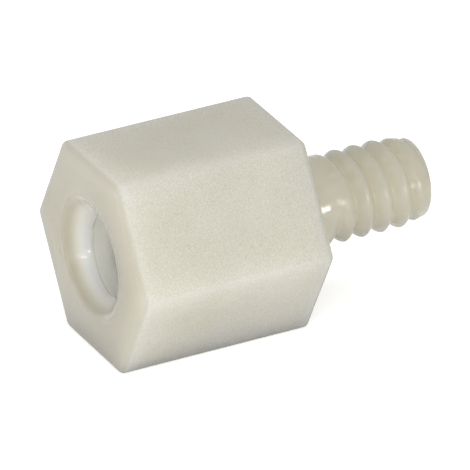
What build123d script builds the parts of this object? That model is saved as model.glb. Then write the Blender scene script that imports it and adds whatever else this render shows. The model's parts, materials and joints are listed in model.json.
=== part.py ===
from build123d import *
from build123d.topology import SkipClean
import math
import os

# Hex standoff, moulded in one piece from natural nylon: a hexagonal body with a blind threaded
# hole in one end and a threaded stud on the other. It lies on a flat with its axis along +X.
# The origin is the middle of the shoulder, the face of the body that the stud stands on.

# Body, in millimetres
across_flats = 6.25
body_length = 6.35
long_edge_round = 0.3
end_edge_round = 0.13

# Screw thread, of one size on the stud and in the hole
thread_diameter = 2.79
thread_pitch = 0.635
thread_angle = 60

# Stud, with a plain shank up to its thread and the angle round the axis where the thread starts
stud_length = 4.55
shank_length = 1.0
stud_thread_start = 125
tip_taper_length = 0.91
tip_taper_drop = 0.19
tip_round = 0.12

# Hole, with the solid floor between it and the stud, and the clearance that lets a screw in
hole_floor = 1.6
hole_thread_start = 40
hole_clearance = 0.05
mouth_width = 0.38
mouth_angle = 90

# A thread is built as equal sectors. The cutter of its groove laps over each side of a sector
# by an angle, and it and the countersink's cone pass what they cut by a margin.
sectors = 12
sector_lap = 5
margin = 0.03

# A standard thread, as shares of its pitch and of the height of its sharp triangle
flank_slope = math.tan(math.radians(thread_angle / 2))
sharp_height = thread_pitch / 2 / flank_slope
crest_flat = thread_pitch / 8
stud_thread_depth = sharp_height * 17 / 24
hole_thread_depth = sharp_height * 5 / 8

stud_radius = thread_diameter / 2
hole_major_radius = stud_radius + hole_clearance
hole_depth = body_length - hole_floor
sector_angle = 360 / sectors
upward = (Align.CENTER, Align.CENTER, Align.MIN)


def groove_cutter(radius, core_radius):
    """One stretch of the groove between two thread crests, lapping over both sides of a sector."""

    def half_width(at_radius):
        return (thread_pitch - crest_flat) / 2 + (at_radius - radius) * flank_slope

    foot, top = core_radius - margin, radius + margin
    corners = [
        Vector(foot, 0, -half_width(foot)),
        Vector(foot, 0, half_width(foot)),
        Vector(top, 0, half_width(top)),
        Vector(top, 0, -half_width(top)),
    ]
    section = Face(Wire.make_polygon(corners, close=True))
    share_of_turn = (sector_angle + 2 * sector_lap) / 360
    path = Edge.make_helix(thread_pitch, thread_pitch * share_of_turn, top)
    groove = Solid.sweep(section, Wire([path]), is_frenet=True)
    return Pos(0, 0, -thread_pitch * sector_lap / 360) * Rot(0, 0, -sector_lap) * groove


def threaded_rod(radius, core_radius, length, first_groove, start_angle):
    """A right-hand threaded rod up +Z, past both ends of its length. Its groove starts at the given
    height and angle, and the rod is plain below it."""
    turns = math.ceil(length / thread_pitch) + 2
    below = Pos(0, 0, -thread_pitch)
    groove = groove_cutter(radius, core_radius)
    heights = [first_groove + turn * thread_pitch for turn in range(turns + 1)]
    outside = below * Solid.make_cylinder(radius, turns * thread_pitch, angle=sector_angle)
    inside = below * Solid.make_cylinder(core_radius, turns * thread_pitch, angle=sector_angle)
    sector = inside.fuse(outside.cut(*[Pos(0, 0, height) * groove for height in heights]))
    placed = []
    for index in range(sectors):
        turned = Rot(0, 0, index * sector_angle) * sector
        placed.append(Pos(0, 0, index * thread_pitch / sectors) * turned)
    return Rot(0, 0, start_angle) * placed[0].fuse(*placed[1:])


def stud():
    """The threaded stud up +Z from the shoulder, with its tapered and rounded tip."""
    tip_radius = stud_radius - tip_taper_drop
    outer = stud_radius + margin
    taper_start = stud_length - tip_taper_length * (1 + margin / tip_taper_drop)
    outline = [(0, 0), (outer, 0), (outer, taper_start), (tip_radius, stud_length), (0, stud_length)]
    envelope = revolve(Plane.XZ * make_face(Polyline(*outline, close=True)), Axis.Z)
    envelope = fillet(envelope.edges().sort_by(Axis.Z)[-1], tip_round)
    core_radius = stud_radius - stud_thread_depth
    first_groove = shank_length + (thread_pitch - crest_flat) / 2
    rod = threaded_rod(stud_radius, core_radius, stud_length, first_groove, stud_thread_start)
    return envelope & rod


def threaded_core():
    """The form that the hole leaves in the body, up +Z from its mouth to its floor."""
    core_radius = hole_major_radius - hole_thread_depth
    envelope = Cylinder(hole_major_radius + margin, hole_depth + margin, align=upward)
    rod = threaded_rod(hole_major_radius, core_radius, hole_depth, -thread_pitch, hole_thread_start)
    return Pos(0, 0, -margin) * envelope & rod


def mouth_cone():
    """The countersink that leads a screw into the hole, widest at the origin."""
    slope = math.tan(math.radians(mouth_angle / 2))
    rim = hole_major_radius + mouth_width
    cone = Cone(rim + margin * slope, hole_major_radius, margin + mouth_width / slope, align=upward)
    return Pos(0, 0, -margin) * cone


def hex_body():
    """The plain hexagonal body, from the shoulder back along -X, with its edges rounded."""
    section = RegularPolygon(across_flats / 2, 6, major_radius=False)
    bar = extrude(Plane.YZ * section, -body_length)
    bar = fillet(bar.edges().filter_by(Axis.X), long_edge_round)
    ends = bar.faces().sort_by(Axis.X)
    return fillet(ends[0].edges() + ends[-1].edges(), end_edge_round)


def hex_standoff():
    """The whole piece. Its faces stay as cut, so that each sector's crests are faces of their own."""
    along = Plane.YZ.location
    from_mouth = Pos(-body_length, 0, 0) * along
    with SkipClean():
        piece = hex_body() - from_mouth * threaded_core() - from_mouth * mouth_cone()
        return piece + along * stud()


os.makedirs("parts", exist_ok=True)
export_step(hex_standoff(), "parts/hex_standoff.step")
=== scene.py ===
# %% [markdown]
# # A moulded nylon hex standoff
# A standoff holds a circuit board a fixed height above a panel. This one is a hexagonal body with a
# threaded hole in one end and a threaded stud on the other, moulded in one shot from natural nylon.
# Nylon is milky and lets some light in, so the piece has soft shadows and a faint yellow depth.
# The solid model gives its sizes and its place. Here it gets its rounded edges, the sunken flats that
# moulding leaves, the rounded turns of its threads, and the finish of the plastic.

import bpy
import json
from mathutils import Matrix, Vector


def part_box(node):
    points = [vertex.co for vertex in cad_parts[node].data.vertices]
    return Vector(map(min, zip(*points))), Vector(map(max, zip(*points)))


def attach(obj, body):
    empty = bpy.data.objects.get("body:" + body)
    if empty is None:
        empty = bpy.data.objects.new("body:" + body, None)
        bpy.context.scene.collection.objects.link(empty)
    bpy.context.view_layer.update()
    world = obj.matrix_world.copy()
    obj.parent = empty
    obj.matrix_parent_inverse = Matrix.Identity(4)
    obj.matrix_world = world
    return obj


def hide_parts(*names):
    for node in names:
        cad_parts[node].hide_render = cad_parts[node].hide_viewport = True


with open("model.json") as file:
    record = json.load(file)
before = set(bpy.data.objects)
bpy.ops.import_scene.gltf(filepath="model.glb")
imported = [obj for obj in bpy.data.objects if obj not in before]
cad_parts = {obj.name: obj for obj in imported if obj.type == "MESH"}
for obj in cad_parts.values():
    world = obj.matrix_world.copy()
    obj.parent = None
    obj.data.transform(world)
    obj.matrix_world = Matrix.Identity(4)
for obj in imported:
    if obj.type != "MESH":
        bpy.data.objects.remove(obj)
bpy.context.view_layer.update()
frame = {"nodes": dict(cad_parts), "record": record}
print("solid pieces", len(frame["nodes"]))

# %% Bring in what the rest of the script needs
import json
import math

import bmesh
import bpy
import numpy as np
from mathutils import Matrix, Vector, noise

# %% [markdown]
# ## Sizes
# The sizes come from the frame, so that the dressed piece and the solid one can't drift apart. The
# box gives the lengths and the width across flats. The mounts give the radii of the two threads.
# Only what the frame doesn't hold is written here. The script thinks in millimetres, as a maker
# does, and turns to metres when it makes a mesh.

# %% Read the sizes from the frame
mm = 0.001
thread_pitch = 0.635
hole_clearance = 0.05
low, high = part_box("hex_standoff")
mounts = {mount["name"]: mount for mount in frame["record"]["mounts"]}

body_length = -low[0] / mm
stud_length = high[0] / mm
apothem = (high[2] - low[2]) / 2 / mm
stud_radius = mounts["stud"]["dims"]["r_mm"]
hole_major_radius = stud_radius + hole_clearance
mouth_depth = body_length + mounts["threaded_hole"]["pos_m"][0] / mm
hole_depth = mouth_depth + mounts["threaded_hole"]["dims"]["length_mm"]
print("body", round(body_length, 3), "stud", round(stud_length, 3), "flats", round(2 * apothem, 3))
print("hole depth", round(hole_depth, 3), "mouth depth", round(mouth_depth, 3))

# %% [markdown]
# ## One skin for the whole piece
# The piece could be a hexagonal bar with a thread joined to it by a boolean, but that leaves a seam
# and ragged triangles where the two meet. Seen along its axis, though, every part of it is a closed
# ring round that axis: the hexagon, the mouth, each turn of a thread and the tip. So the skin is one
# long stack of rings, from the floor of the hole, out over the body, to the tip of the stud. All the
# rings share the same columns, which stand closer together at the rounded corners of the hexagon.

# %% Set out the columns round the axis
long_edge_round = 0.3
side_angle = math.pi / 3
half_side = side_angle / 2
flat_half = math.atan((apothem - long_edge_round) * math.tan(half_side) / apothem)
flat_steps = 24
corner_steps = 6


def column_angles():
    """Angles round the axis, from the start of one flat right round to the same place."""
    flat = np.linspace(-flat_half, flat_half, flat_steps, endpoint=False)
    corner = np.linspace(flat_half, side_angle - flat_half, corner_steps, endpoint=False)
    one_side = np.concatenate([flat, corner])
    sides = [one_side + half_side + side * side_angle for side in range(6)]
    return np.append(np.concatenate(sides), sides[0][0] + 2 * math.pi)


theta = column_angles()
print("columns", len(theta) - 1)

# %% [markdown]
# ## The hexagon
# A moulded hexagon has rounded corners, because a sharp corner in a steel mould is hard to cut and
# to fill. The outline is worked out from its own geometry: straight flats, and arcs between them.
# Cooling nylon shrinks most where it is thickest, so the flats sink a little between the ends.

# %% Shape the hexagon
sink_of_flats = 0.025


def hex_outline(inset):
    """Distance from the axis to the rounded hexagon, moved inward by an inset, in each column."""
    reach = apothem - inset
    corner = long_edge_round - inset
    centre = (reach - corner) / math.cos(half_side)
    off_middle = theta % side_angle - half_side
    off_corner = half_side - np.abs(off_middle)
    flat = reach / np.cos(off_middle)
    arc = np.sqrt(np.maximum(corner**2 - (centre * np.sin(off_corner)) ** 2, 0))
    rounded = centre * np.cos(off_corner) + arc
    return np.where(np.abs(off_middle) <= flat_half, flat, rounded)


def sunk_outline(x):
    """The hexagon's outline at a place along the body, sunk a little between its ends."""
    middle = 1 - (2 * x / body_length + 1) ** 2
    across = np.cos((theta % side_angle - half_side) / half_side * math.pi / 2)
    return hex_outline(0) - sink_of_flats * middle * across


print("across the rounded corners", round(2 * float(hex_outline(0).max()), 3))

# %% [markdown]
# ## The profile of a thread
# A thread is easier to describe than to draw: at any place along the axis and any angle round it, the
# distance from the nearest crest gives the depth. A standard thread has straight flanks between small
# flats. This one comes out of a mould with rounded crests and sharper valleys, so the corners of the
# profile are softened, each over its own reach.

# %% Give the threads their profile
crest_softness = 0.75
root_softness = 0.10


def soft_max(a, b, reach):
    """The larger of two values, with the corner between them rounded over a reach."""
    near = np.maximum(reach - np.abs(a - b), 0) / reach
    return np.maximum(a, b) + near**2 * reach / 4


def soft_min(a, b, reach):
    """The smaller of two values, with the corner between them rounded over a reach."""
    return -soft_max(-a, -b, reach)


def smooth_step(value):
    """A soft climb from 0 to 1."""
    t = np.clip(value, 0, 1)
    return t * t * (3 - 2 * t)


def flank(from_crest, crest_flat, root_flat):
    """Depth into a thread, from 0 on its crest to 1 at its root, for a distance in pitches."""

    def raw(distance):
        climb = (distance - crest_flat / 2) / (0.5 - crest_flat / 2 - root_flat / 2)
        return soft_min(soft_max(climb, 0.0, crest_softness), 1.0, root_softness)

    crest = raw(np.zeros(1))[0]
    return (raw(from_crest) - crest) / (1 - crest)


print("the crest's softened corner moves by", soft_max(0.0, 0.0, crest_softness), "of the depth")

# %% [markdown]
# ## The stud
# The stud is a plain rod with its thread cut into it. The groove starts about a millimetre from the
# body and takes a third of a turn to reach its depth, as a tool or a mould leaves it. The rod tapers
# over its last turn, so that it finds a nut easily, and its tip is rounded.
# Next to the body, where the body shades the stud, and down in the valleys, where the crests shade them,
# a lighter colour is painted on as painted light against that shade.
# That is kept as a number from 0 to 1 on each point, and the material turns it into a lighter colour.

# %% Shape the stud's thread and tip
# Lengths are in millimetres, and the flats of the thread are shares of its pitch.
stud_thread_depth = 0.26
stud_crest_flat = 0.125
stud_root_flat = 0.06
first_groove = 1.278
first_groove_angle = math.radians(125)
fade_turns = 0.3
tip_taper_length = 0.91
tip_taper_drop = 0.19
taper_blend = 0.03
# The next three numbers set painted light: a lighter colour in the valleys and next to the body, against
# the shade there.
painted_light_in_valleys = 0.22
painted_light_by_body = 0.42
painted_light_by_body_reach = 2.4


def stud_envelope(x):
    """The plain form that the stud's thread is cut into: straight, then tapered to the tip."""
    past = np.maximum(x - (stud_length - tip_taper_length), 0)
    return stud_radius - tip_taper_drop * past / tip_taper_length


def stud_surface(x):
    """Radius of the stud in each column, at a place along the axis that each column has."""
    round_axis = ((theta - first_groove_angle) % (2 * math.pi)) / (2 * math.pi)
    grooves = (x - first_groove) / thread_pitch - round_axis
    nearest = np.round(grooves)
    depth = stud_thread_depth * smooth_step((nearest + round_axis) / fade_turns)
    cut = flank(0.5 - np.abs(grooves - nearest), stud_crest_flat, stud_root_flat)
    return soft_min(stud_radius - depth * cut, stud_envelope(x), taper_blend)


def stud_painted_light(x):
    """How much lighter colour is painted on the stud as painted light against its shade: most by the
    body, where the body shades it, and some in the valleys.
    """
    valley = np.maximum(stud_envelope(x) - stud_surface(x), 0) / stud_thread_depth
    return painted_light_by_body * (1 - smooth_step(x / painted_light_by_body_reach)) + painted_light_in_valleys * valley


print("stud radius", stud_radius, "at its tip", round(float(stud_envelope(stud_length)), 3))

# %% [markdown]
# ## The hole
# The hole has the same thread turned inside out, with a little clearance so that a screw goes in. Its
# mouth is a countersink at 45 degrees, which leads the screw in, and the lip between mouth and face is
# rounded. The larger radius of the two forms wins: the cone near the mouth, and the thread past it.

# %% Shape the hole's thread and mouth
# The painted light in the hole, a lighter colour against its shade, starts past a share of the mouth's
# depth, so that the lip keeps the colour of the face.
hole_ridge = 0.27
hole_crest_flat = 0.25
hole_root_flat = 0.125
hole_crest_angle = math.radians(40)
mouth_slope = math.pi / 4
mouth_blend = 0.04
lip_round = 0.22
painted_light_delay = 0.2
rim_radius = hole_major_radius + mouth_depth
lip_start = -body_length + lip_round * (1 - math.cos(mouth_slope))


def hole_surface(x):
    """Radius of the hole in each column, at a place along the axis that each column has."""
    turns = (x + body_length) / thread_pitch - (theta - hole_crest_angle) / (2 * math.pi)
    from_crest = np.abs(turns - np.round(turns))
    thread = hole_major_radius - hole_ridge * (1 - flank(from_crest, hole_crest_flat, hole_root_flat))
    cone = rim_radius - (x + body_length)
    return soft_max(thread, cone, mouth_blend)


def hole_painted_light(x):
    """How much lighter colour is painted in the hole as painted light against its shade: more and more
    over the depth of the mouth.
    """
    return smooth_step((x + body_length) / mouth_depth - painted_light_delay)


print("hole radius on its crests", round(hole_major_radius - hole_ridge, 3))
print("hole radius at its rim", round(rim_radius, 3))

# %% [markdown]
# ## Rings that follow a thread
# Plain rings would cut across the turns of a thread and leave its crests ragged. So the rings of a
# thread climb with it, one pitch in each turn, and a crest stays one clean line of points. At each
# end of the thread they flatten against a plain ring, and are welded there later.

# %% Lay the rings of a thread
profile_steps = 16


def ring(x, radius, grain=0.0, painted_light=0.0):
    """One ring of the skin: its place, its radius, its grain, and how much painted light lightens its
    colour.
    """
    ones = np.ones_like(theta)
    return [x * ones, radius * ones, grain * ones, painted_light * ones]


def thread_rings(surface, painted_light, start, end, phase):
    """Rings that climb with a thread from start to end, flattened against both."""
    climb = thread_pitch * (theta - theta[0]) / (2 * math.pi)
    first = math.floor((start - phase) / thread_pitch) - 2
    last = math.ceil((end - phase) / thread_pitch) + 1
    rings = []
    for step in range(first * profile_steps, last * profile_steps + 1):
        x = np.clip(phase + step * thread_pitch / profile_steps + climb, start, end)
        rings.append(ring(x, surface(x), painted_light=painted_light(x)))
    return rings


# %% Lay the rings of the stud
tip_round = 0.12
tip_start = stud_length - tip_round
tip_face_shares = (0.9, 0.7, 0.45, 0.2, 0.0)
quarter_turn = np.linspace(0, math.pi / 2, 7)


def stud_rings():
    """The stud from the shoulder to the middle of its tip."""
    phase = first_groove + thread_pitch * (theta[0] - first_groove_angle) / (2 * math.pi)
    rings = thread_rings(stud_surface, stud_painted_light, 0.0, tip_start, phase)
    for angle in quarter_turn[1:]:
        x = np.full_like(theta, tip_start + tip_round * math.sin(angle))
        drop = tip_round * (1 - math.cos(angle))
        rings.append(ring(x, np.minimum(stud_surface(x), stud_envelope(x) - drop)))
    edge = rings[-1][1]
    return rings + [ring(stud_length, edge * share) for share in tip_face_shares]


stud = stud_rings()
print("rings of the stud", len(stud))

# %% Lay the rings of the hole
floor_shares = (0.0, 0.25, 0.5, 0.75, 0.93)
lip_steps = 5


def hole_rings():
    """The hole from the middle of its floor to the face round its mouth."""
    floor = -body_length + hole_depth
    phase = -body_length + thread_pitch * (theta[0] - hole_crest_angle) / (2 * math.pi)
    wall = thread_rings(hole_surface, hole_painted_light, lip_start, floor, phase)[::-1]
    foot = wall[0][1]
    # The floor of the hole takes the full painted light, against the shade deep in the hole.
    rings = [ring(floor, foot * share, painted_light=1.0) for share in floor_shares] + wall
    tangent = lip_round * math.tan(mouth_slope / 2)
    for angle in np.linspace(mouth_slope, 0, lip_steps):
        x = -body_length + lip_round * (1 - math.cos(angle))
        rings.append(ring(x, rim_radius + tangent - lip_round * math.sin(angle)))
    return rings


hole = hole_rings()
print("rings of the hole", len(hole))

# %% [markdown]
# ## Rings of the body
# The body runs from the face round the hole, over a rounded edge, along the flats, and over another
# rounded edge to the shoulder. The mould's flats are grained and its ends are nearly smooth. How
# grained each ring is goes with it as a number from 0 to 1, and the change lies on the rounded edge.

# %% Lay the rings of the body
end_edge_round = 0.2
face_steps = 14
side_steps = 60
end_grain = 0.3
grain_start = 0.08
grain_reach = 0.14


def side_grain(x):
    """Grain of the flats, which fades to the fainter grain of the ends over the rounded edges."""
    from_end = np.minimum(x + body_length, -x)
    return end_grain + (1 - end_grain) * smooth_step((from_end - grain_start) / grain_reach)


def face_rings(x, start, end):
    """Rings across an end of the body, from one outline to another."""
    shares = np.linspace(0, 1, face_steps)[1:-1]
    return [ring(x, start + (end - start) * share, grain=end_grain) for share in shares]


def edge_rings(end, into_body, angles):
    """Rings over a rounded end edge, with the body on the side that into_body gives, 1 or -1."""
    rings = []
    for angle in angles:
        x = end + into_body * end_edge_round * (1 - math.cos(angle))
        inset = end_edge_round * (1 - math.sin(angle))
        rings.append(ring(x, hex_outline(inset), grain=side_grain(x)))
    return rings


def body_rings(mouth, root):
    """The body's front face, rounded ends and flats, and its shoulder, from mouth to stud."""
    end_outline = hex_outline(end_edge_round)
    rings = face_rings(-body_length, mouth, end_outline)
    rings += edge_rings(-body_length, 1, quarter_turn[:-1])
    for x in np.linspace(-body_length + end_edge_round, -end_edge_round, side_steps):
        rings.append(ring(x, sunk_outline(x), grain=side_grain(x)))
    rings += edge_rings(0.0, -1, quarter_turn[::-1][1:])
    return rings + face_rings(0.0, end_outline, root)


body = body_rings(hole[-1][1], stud[0][1])
print("rings of the body", len(body))

# %% [markdown]
# ## Stitch the rings into a mesh
# Each ring is joined to the next by a band of quads. Where rings of a thread flatten against its end,
# or meet at the middle of the tip, their points fall on each other, and one weld turns the whole stack
# into a single closed skin. A gentle wander of a few thousandths of a millimetre, always inward, keeps
# the reflections from looking drawn with a ruler.

# %% Set out the points and faces of the skin
# Near the axis, inside the steady core, the points move less.
wander_depth = 0.004
wander_size = 1.1
steady_core = 1.0


def skin_points(rings):
    """Every point of the skin in millimetres, ring after ring."""
    points = []
    for x, radius, _, _ in rings:
        points.append(np.stack([x, radius * np.cos(theta), radius * np.sin(theta)], axis=1))
    return np.concatenate(points)


def wander(points):
    """Moves the points a little towards the axis, by a slow noise."""
    for point in points:
        swell = 0.5 + 0.5 * noise.noise(Vector(point) / wander_size)
        radius = max(math.hypot(point[1], point[2]), steady_core)
        point[1:] *= 1 - wander_depth * swell / radius


def skin_faces(ring_count):
    """The quads between each ring and the next."""
    width = len(theta)
    faces = []
    for row in range(ring_count - 1):
        for column in range(width - 1):
            a = row * width + column
            faces.append((a, a + width, a + width + 1, a + 1))
    return faces


rings = hole + body + stud
points = skin_points(rings)
wander(points)
faces = skin_faces(len(rings))
print("points", len(points), "quads", len(faces))

# %% [markdown]
# ## Soft normals
# Milky plastic hides its own small forms: light that goes in on one side of a thread's crest comes out
# on the other, so crests and edges look softer than they are. Scattering does part of that. The rest
# comes from a second set of normals, averaged over each point's neighbours many times. They are stored
# on the mesh beside the true ones, and the material mixes the two.

# %% Build the skin
weld_distance = 0.0002 * mm
blur_rounds = 60


def weld(mesh):
    """Joins the points that fall on each other, and gives the number of edges left open."""
    welder = bmesh.new()
    welder.from_mesh(mesh)
    bmesh.ops.remove_doubles(welder, verts=welder.verts, dist=weld_distance)
    bmesh.ops.recalc_face_normals(welder, faces=welder.faces)
    open_edges = sum(1 for edge in welder.edges if len(edge.link_faces) != 2)
    welder.to_mesh(mesh)
    welder.free()
    return open_edges


def soft_normals(mesh):
    """Normals averaged over each point's neighbours again and again."""
    count = len(mesh.vertices)
    normals = np.zeros(count * 3)
    mesh.vertices.foreach_get("normal", normals)
    normals = normals.reshape(-1, 3)
    ends = np.zeros(len(mesh.edges) * 2, dtype=np.int64)
    mesh.edges.foreach_get("vertices", ends)
    a, b = ends.reshape(-1, 2).T
    for _ in range(blur_rounds):
        total = normals.copy()
        for axis in range(3):
            from_b = np.bincount(a, normals[b, axis], count)
            from_a = np.bincount(b, normals[a, axis], count)
            total[:, axis] += from_b + from_a
        normals = total / np.linalg.norm(total, axis=1, keepdims=True)
    return normals


skin = bpy.data.meshes.new("standoff_skin")
skin.from_pydata((points * mm).tolist(), [], faces)
# The last column is painted light: how much lighter colour is put where the hole and the stud are
# shaded.
for column, mask in ((2, "grain"), (3, "painted_light")):
    values = skin.attributes.new(mask, "FLOAT", "POINT")
    values.data.foreach_set("value", np.concatenate([row[column] for row in rings]).astype(np.float32))
open_edges = weld(skin)
skin.shade_smooth()
soft = skin.attributes.new("soft_normal", "FLOAT_VECTOR", "POINT")
soft.data.foreach_set("vector", soft_normals(skin).astype(np.float32).ravel())
print("points", len(skin.vertices), "faces", len(skin.polygons), "open edges", open_edges)

# %% [markdown]
# ## In the place of the solid
# The solid keeps its work in the physics, but it is hidden here, and the skin is shown for it. The skin
# rides on the same body, and takes the finish of the same plastic. Its normals are weighted by area, so
# that the broad flats stay flat in the light right up to their rounded edges.

# %% Put the skin in the place of the solid
standoff = bpy.data.objects.new("nylon_standoff", skin)
bpy.context.scene.collection.objects.link(standoff)
weights = standoff.modifiers.new("even_normals", "WEIGHTED_NORMAL")
weights.keep_sharp = True
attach(standoff, "root")
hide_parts("hex_standoff")
print(standoff.name, "stands for the solid hex_standoff")

# %% [markdown]
# ## Small tools for materials
# A material is a tree of nodes, and most of its nodes do one of a few small jobs: some arithmetic, a
# value moved to another range, a mix of two colours, a soft noise or a bump. Each job gets a short
# function, so that a material reads like a recipe. Where a function takes a value or a colour, it
# takes either a fixed one or the output of another node.

# %% Make tools for values and colours
def feed(tree, source, socket):
    """Gives a socket its value, fixed or from another node's output."""
    if isinstance(source, bpy.types.NodeSocket):
        tree.links.new(source, socket)
    else:
        socket.default_value = source


def arithmetic(tree, operation, first, second, clamp=False):
    """The result of one sum, product or other operation on two values."""
    node = tree.nodes.new("ShaderNodeMath")
    node.operation = operation
    node.use_clamp = clamp
    feed(tree, first, node.inputs[0])
    feed(tree, second, node.inputs[1])
    return node.outputs["Value"]


def ramp(tree, value, start, end, from_start=0.0, from_end=1.0):
    """A value moved from one range to another, and kept inside it."""
    node = tree.nodes.new("ShaderNodeMapRange")
    node.inputs["From Min"].default_value = from_start
    node.inputs["From Max"].default_value = from_end
    node.inputs["To Min"].default_value = start
    node.inputs["To Max"].default_value = end
    tree.links.new(value, node.inputs["Value"])
    return node.outputs["Result"]


def mix(tree, kind, amount, first, second):
    """The first of two colours or vectors where the amount is 0, and the second where it is 1."""
    node = tree.nodes.new("ShaderNodeMix")
    node.data_type = kind
    feed(tree, amount, node.inputs["Factor"])
    feed(tree, first, node.inputs["A"])
    feed(tree, second, node.inputs["B"])
    return node.outputs["Result"]


# %% Make tools for surfaces
def stored(tree, name, output="Fac"):
    """What the mesh stores on its points under a name."""
    node = tree.nodes.new("ShaderNodeAttribute")
    node.attribute_name = name
    return node.outputs[output]


def soft_noise(tree, place, scale, detail):
    """A noise from 0 to 1, with its scale in waves to the metre."""
    node = tree.nodes.new("ShaderNodeTexNoise")
    feed(tree, scale, node.inputs["Scale"])
    node.inputs["Detail"].default_value = detail
    tree.links.new(place, node.inputs["Vector"])
    return node


def bump(tree, height, distance, strength=1.0, normal=None):
    """A normal tilted by a height, on top of the surface's own normal or of another one."""
    node = tree.nodes.new("ShaderNodeBump")
    node.inputs["Distance"].default_value = distance
    node.inputs["Strength"].default_value = strength
    tree.links.new(height, node.inputs["Height"])
    if normal is not None:
        tree.links.new(normal, node.inputs["Normal"])
    return node.outputs["Normal"]


def new_material(name):
    """A material whose tree holds only a shader and its output."""
    material = bpy.data.materials.new(name)
    material.use_nodes = True
    tree = material.node_tree
    tree.nodes.clear()
    output = tree.nodes.new("ShaderNodeOutputMaterial")
    shader = tree.nodes.new("ShaderNodeBsdfPrincipled")
    tree.links.new(shader.outputs["BSDF"], output.inputs["Surface"])
    return material, tree, shader


# %% [markdown]
# ## Fine grain
# The flats of the mould were spark-eroded or blasted, and the nylon takes up that fine, even grain. The
# same kind of grain, larger and fainter, is in the card that the piece lies on. So the grain is one node
# group with its size and contrast as inputs. It gives a height for bumps and a speckle for colour.

# %% Make the grain as a node group
def grain_group():
    """A node group: fine, even grain, with its size in metres."""
    group = bpy.data.node_groups.new("fine_grain", "ShaderNodeTree")
    for name, usual in (("Size", 0.0001), ("Contrast", 1.0)):
        socket = group.interface.new_socket(name, in_out="INPUT", socket_type="NodeSocketFloat")
        socket.default_value = usual
    for name in ("Height", "Speckle"):
        group.interface.new_socket(name, in_out="OUTPUT", socket_type="NodeSocketFloat")
    inputs = group.nodes.new("NodeGroupInput")
    outputs = group.nodes.new("NodeGroupOutput")
    place = group.nodes.new("ShaderNodeTexCoord").outputs["Object"]
    scale = arithmetic(group, "DIVIDE", 1.0, inputs.outputs["Size"])
    pebbles = soft_noise(group, place, scale, detail=3.0)
    pebbles.inputs["Roughness"].default_value = 0.65
    centred = arithmetic(group, "SUBTRACT", pebbles.outputs["Fac"], 0.5)
    speckle = arithmetic(group, "MULTIPLY", centred, inputs.outputs["Contrast"])
    group.links.new(pebbles.outputs["Fac"], outputs.inputs["Height"])
    group.links.new(speckle, outputs.inputs["Speckle"])
    return group


def place_grain(tree, size, contrast=1.0):
    """The grain in a material, with a size and a contrast of its own."""
    node = tree.nodes.new("ShaderNodeGroup")
    node.node_tree = grain
    node.inputs["Size"].default_value = size
    node.inputs["Contrast"].default_value = contrast
    return node


grain = grain_group()
print("grain outputs", [item.name for item in grain.interface.items_tree if item.in_out == "OUTPUT"])

# %% [markdown]
# ## The colour of natural nylon
# Nylon straight from the sack is a translucent ivory. The grained flats scatter more light at the
# surface and look paler than the smooth threads and ends, and faint clouds run through all of it.
# So the colour starts deep, grows paler with the grain, and is lightest where light is painted in: a
# lighter colour against the shade in the hole and on the stud.

# %% Tint the nylon
nylon_deep = (0.51, 0.475, 0.358, 1.0)
nylon_pale = (0.84, 0.82, 0.745, 1.0)
# The lightest tint is painted light, mixed in where the hole and the stud are shaded.
nylon_painted_light = (1.0, 0.945, 0.82, 1.0)
grained_paleness = 0.6
cloud_scale = 420.0
cloud_range = (0.3, 0.7)
cloud_strength = 0.08


def nylon_tint(tree, place, grained, painted_light_share, fine):
    """Colour of the nylon, from how grained it is, how much painted light it takes, clouds and speckle.
    """
    paleness = ramp(tree, grained, 0.0, grained_paleness)
    cloud = soft_noise(tree, place, cloud_scale, detail=2.0).outputs["Fac"]
    clouded = ramp(tree, cloud, -cloud_strength, cloud_strength, *cloud_range)
    speckle = arithmetic(tree, "MULTIPLY", fine.outputs["Speckle"], grained)
    mottled = arithmetic(tree, "ADD", paleness, clouded)
    speckled = arithmetic(tree, "ADD", mottled, speckle, clamp=True)
    surface = mix(tree, "RGBA", speckled, nylon_deep, nylon_pale)
    return mix(tree, "RGBA", painted_light_share, surface, nylon_painted_light)


print("nylon tints", nylon_deep[:3], nylon_pale[:3], nylon_painted_light[:3])

# %% [markdown]
# ## The milky surface of nylon
# The shading follows mostly the soft normals, which is what makes the piece look milky, with the fine
# grain as a bump on top. A thin glossy coat keeps the true normals, so the small bright spots on the
# smooth stud and in the hole stay crisp. There the coat has a faint ripple, as moulded threads do.

# %% Shape the nylon's surface
milkiness = 0.85
grain_height = 0.02 * mm
smooth_height = 0.15
ripple_size = 0.22 * mm
ripple_height = 0.012 * mm


def milky_normal(tree):
    """The true normal, moved most of the way to the soft one."""
    turned = tree.nodes.new("ShaderNodeVectorTransform")
    turned.vector_type = "NORMAL"
    turned.convert_from = "OBJECT"
    turned.convert_to = "WORLD"
    tree.links.new(stored(tree, "soft_normal", "Vector"), turned.inputs["Vector"])
    sharp = tree.nodes.new("ShaderNodeNewGeometry")
    return mix(tree, "VECTOR", milkiness, sharp.outputs["Normal"], turned.outputs["Vector"])


def grained_normal(tree, grained, fine):
    """The milky normal with the grain on it, full on the flats and faint on the smooth places."""
    depth = ramp(tree, grained, smooth_height, 1.0)
    height = arithmetic(tree, "MULTIPLY", fine.outputs["Height"], depth)
    return bump(tree, height, grain_height, normal=milky_normal(tree))


def rippled_normal(tree, place, painted_light_share):
    """The true normal with a faint ripple, as strong as the painted light: full in the hole and fainter
    on the stud.
    """
    ripple = soft_noise(tree, place, 1 / ripple_size, detail=1.0).outputs["Fac"]
    return bump(tree, arithmetic(tree, "MULTIPLY", ripple, painted_light_share), ripple_height)


print("grain height in mm", round(grain_height / mm, 3), "ripple", round(ripple_height / mm, 3))

# %% [markdown]
# ## Natural nylon
# Light goes some millimetres into nylon and comes out again warmer, so most of its colour is made
# under the surface. Subsurface scattering does that, where plain paint would look like chalk. Red
# light goes a little further than blue. The material brings the tint and the normals together.

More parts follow.
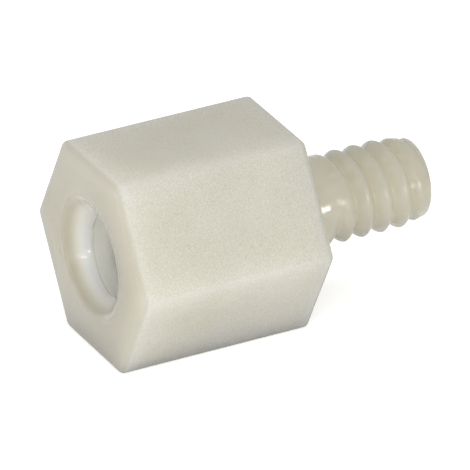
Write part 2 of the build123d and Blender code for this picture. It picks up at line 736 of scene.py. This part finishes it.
# %% Make the nylon
scatter_depth = 4.0 * mm
scatter_colour = (1.0, 0.93, 0.78)
clearness = 0.25
nylon_index = 1.53
grain_size = 0.045 * mm
grain_contrast = 1.5
smooth_roughness = 0.2
grained_roughness = 0.62
smooth_coat = 1.0
grained_coat = 0.08
coat_roughness = 0.12


def nylon():
    """Natural nylon, paler and rougher where it is grained."""
    material, tree, shader = new_material("natural_nylon")
    shader.inputs["Subsurface Weight"].default_value = 1.0
    shader.inputs["Subsurface Radius"].default_value = scatter_colour
    shader.inputs["Subsurface Scale"].default_value = scatter_depth
    shader.inputs["IOR"].default_value = nylon_index
    shader.inputs["Transmission Weight"].default_value = clearness
    shader.inputs["Coat Roughness"].default_value = coat_roughness

    place = tree.nodes.new("ShaderNodeTexCoord").outputs["Object"]
    grained = stored(tree, "grain")
    painted_light_share = stored(tree, "painted_light")
    fine = place_grain(tree, grain_size, grain_contrast)
    roughness = ramp(tree, grained, smooth_roughness, grained_roughness)
    coat = ramp(tree, grained, smooth_coat, grained_coat)
    feed(tree, nylon_tint(tree, place, grained, painted_light_share, fine), shader.inputs["Base Color"])
    feed(tree, roughness, shader.inputs["Roughness"])
    feed(tree, grained_normal(tree, grained, fine), shader.inputs["Normal"])
    feed(tree, coat, shader.inputs["Coat Weight"])
    feed(tree, rippled_normal(tree, place, painted_light_share), shader.inputs["Coat Normal"])
    return material


standoff.data.materials.append(nylon())
print("nylon on", standoff.name, "scatter depth in mm", round(scatter_depth / mm, 2))

# %% [markdown]
# ## The floor
# The piece lies on white card. The lamps light the card like any surface, so it keeps the soft shadow
# of the piece. Where the camera sees it, it also glows a little, which lifts it to plain white without
# putting any more light on the nylon.

# %% Lay the floor
floor_size = 2.0
card_white = (0.95, 0.95, 0.95, 1.0)
card_lift = 0.45
card_roughness = 0.9
card_shine = 0.1
card_grain = 0.4 * mm
card_grain_height = 0.01 * mm
card_grain_strength = 0.2


def card():
    """White card, lit by the lamps like any surface, and lifted to white where the camera sees it."""
    material, tree, shader = new_material("white_card")
    shader.inputs["Base Color"].default_value = card_white
    shader.inputs["Roughness"].default_value = card_roughness
    shader.inputs["Specular IOR Level"].default_value = card_shine
    shader.inputs["Emission Color"].default_value = (1.0, 1.0, 1.0, 1.0)
    fine = place_grain(tree, card_grain)
    normal = bump(tree, fine.outputs["Height"], card_grain_height, card_grain_strength)
    feed(tree, normal, shader.inputs["Normal"])
    ray = tree.nodes.new("ShaderNodeLightPath")
    glow = arithmetic(tree, "MULTIPLY", ray.outputs["Is Camera Ray"], card_lift)
    feed(tree, glow, shader.inputs["Emission Strength"])
    return material


bpy.ops.mesh.primitive_plane_add(size=floor_size, location=(0, 0, low[2]))
floor = bpy.context.object
floor.name = "card_floor"
floor.data.materials.append(card())
print("floor at", round(low[2] / mm, 3), "mm")

# %% [markdown]
# ## Light
# A light tent gives soft light from all round, and looks plain white to the camera and through clear
# nylon. Three soft boxes shape the piece: one close in front, on the camera's side, one low in front,
# and one overhead. A soft box would also leave a broad sheen on every crest, which milky nylon doesn't
# show, so the boxes light the piece without being mirrored in it. Two small lamps, low at the left and
# at the right, are mirrored, and make the bright spots in the hole and along the stud.

# %% Light the tent
tent_strength = 0.62
world = bpy.data.worlds.new("light_tent")
bpy.context.scene.world = world
world.use_nodes = True
tent = world.node_tree
backdrop = tent.nodes["Background"]
backdrop.inputs["Color"].default_value = (1.0, 1.0, 1.0, 1.0)
ray = tent.nodes.new("ShaderNodeLightPath")
seen = arithmetic(tent, "MAXIMUM", ray.outputs["Is Camera Ray"], ray.outputs["Is Transmission Ray"])
feed(tent, ramp(tent, seen, tent_strength, 1.0), backdrop.inputs["Strength"])
print("tent strength", tent_strength)


# %% Hang the lamps
def lamp(name, direction, distance, size, watts, mirrored=False):
    """A soft rectangular lamp that looks at the middle of the piece, and is mirrored in it or not."""
    data = bpy.data.lights.new(name, "AREA")
    data.shape = "RECTANGLE"
    data.size = size[0]
    data.size_y = size[1]
    data.energy = watts
    light = bpy.data.objects.new(name, data)
    way = Vector(direction).normalized()
    light.location = way * distance
    light.rotation_euler = way.to_track_quat("Z", "Y").to_euler()
    light.visible_glossy = mirrored
    bpy.context.scene.collection.objects.link(light)
    return light


lamps = [
    lamp("front_box", (-0.42, -0.77, 0.47), 0.12, size=(0.07, 0.06), watts=0.048),
    lamp("low_box", (-0.55, -0.82, 0.09), 0.3, size=(0.2, 0.04), watts=0.17),
    lamp("top_box", (0.0, 0.15, 1.0), 0.3, size=(0.12, 0.12), watts=0.15),
    lamp("left_spark", (-0.9, -0.42, 0.12), 0.3, size=(0.025, 0.035), watts=0.05, mirrored=True),
    lamp("right_spark", (0.39, -0.92, 0.06), 0.3, size=(0.04, 0.06), watts=0.10, mirrored=True),
]
for item in lamps:
    print(item.name, tuple(round(value, 3) for value in item.location))

# %% [markdown]
# ## Camera
# A close view of a small part is taken from well away with a long lens, which keeps its edges nearly
# parallel. The angles, the distance and the lens were found by matching the corners of the hexagon and
# the outline of the stud.

# %% Place the camera
# The distance and the two shifts of the aim are in millimetres, and the lens is measured in pixels.
azimuth = math.radians(-26.61)
elevation = math.radians(27.37)
roll = math.radians(-1.17)
distance = 281.3
aim_right = -1.35
aim_up = -0.738
sensor_width = 36.0
focal_pixels = 9390.0
image_width = 470

right = Vector((math.cos(azimuth), math.sin(azimuth), 0))
back = Vector((
    math.sin(azimuth) * math.cos(elevation),
    -math.cos(azimuth) * math.cos(elevation),
    math.sin(elevation),
))
up = back.cross(right)
rolled_right = right * math.cos(roll) + up * math.sin(roll)
rolled_up = up * math.cos(roll) - right * math.sin(roll)
lens = bpy.data.cameras.new("long_lens")
lens.sensor_width = sensor_width
lens.lens = focal_pixels * sensor_width / image_width
camera = bpy.data.objects.new("camera", lens)
turn = Matrix((rolled_right, rolled_up, back)).transposed()
spot = (rolled_right * aim_right + rolled_up * aim_up + back * distance) * mm
camera.matrix_world = Matrix.Translation(spot) @ turn.to_4x4()
bpy.context.scene.collection.objects.link(camera)
bpy.context.scene.camera = camera
bpy.context.scene.view_settings.view_transform = "Standard"
print("lens", round(lens.lens, 1), "mm from", tuple(round(value, 3) for value in spot))
